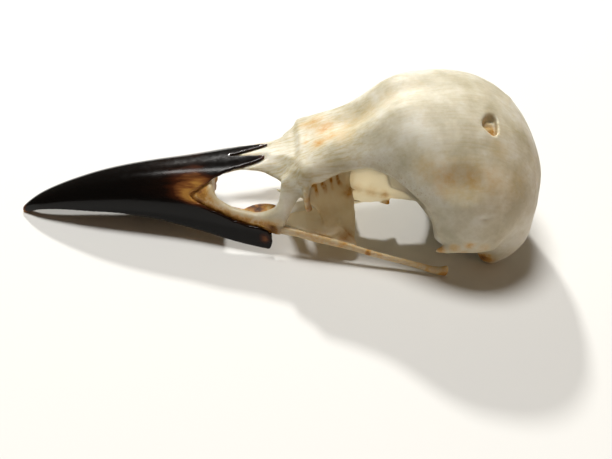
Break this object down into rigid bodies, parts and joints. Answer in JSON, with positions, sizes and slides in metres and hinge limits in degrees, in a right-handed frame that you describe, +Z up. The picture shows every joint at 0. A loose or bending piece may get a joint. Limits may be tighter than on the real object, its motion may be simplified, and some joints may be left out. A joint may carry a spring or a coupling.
{
  "type": "bird skull",
  "caption": "Dried crow skull without its lower jaw, its upper bill still in a black horn sheath, resting on the bill tip and the back of the braincase.",
  "frame": {"origin": "on the surface the skull rests on, under the middle of its bounding box", "axes": "-X towards the bill's tip, -Y towards the bird's left side, +Z up"},
  "size_m": [0.0922, 0.0378, 0.0287],
  "materials": {
    "horn": "glossy black horn",
    "bone": "dry bone, satin"
  },
  "bodies": {
    "root": {"beak_sheath": "horn", "premaxilla": "bone", "nasal_bridge": "bone", "forehead": "bone", "braincase": "bone", "orbital_septum": "bone", "maxilla_left": "bone", "maxilla_right": "bone", "nasal_bar_left": "bone", "nasal_bar_right": "bone", "front_wall_left": "bone", "front_wall_right": "bone", "palatine_left": "bone", "palatine_right": "bone", "jugal_left": "bone", "jugal_right": "bone"}
  },
  "joints": []
}
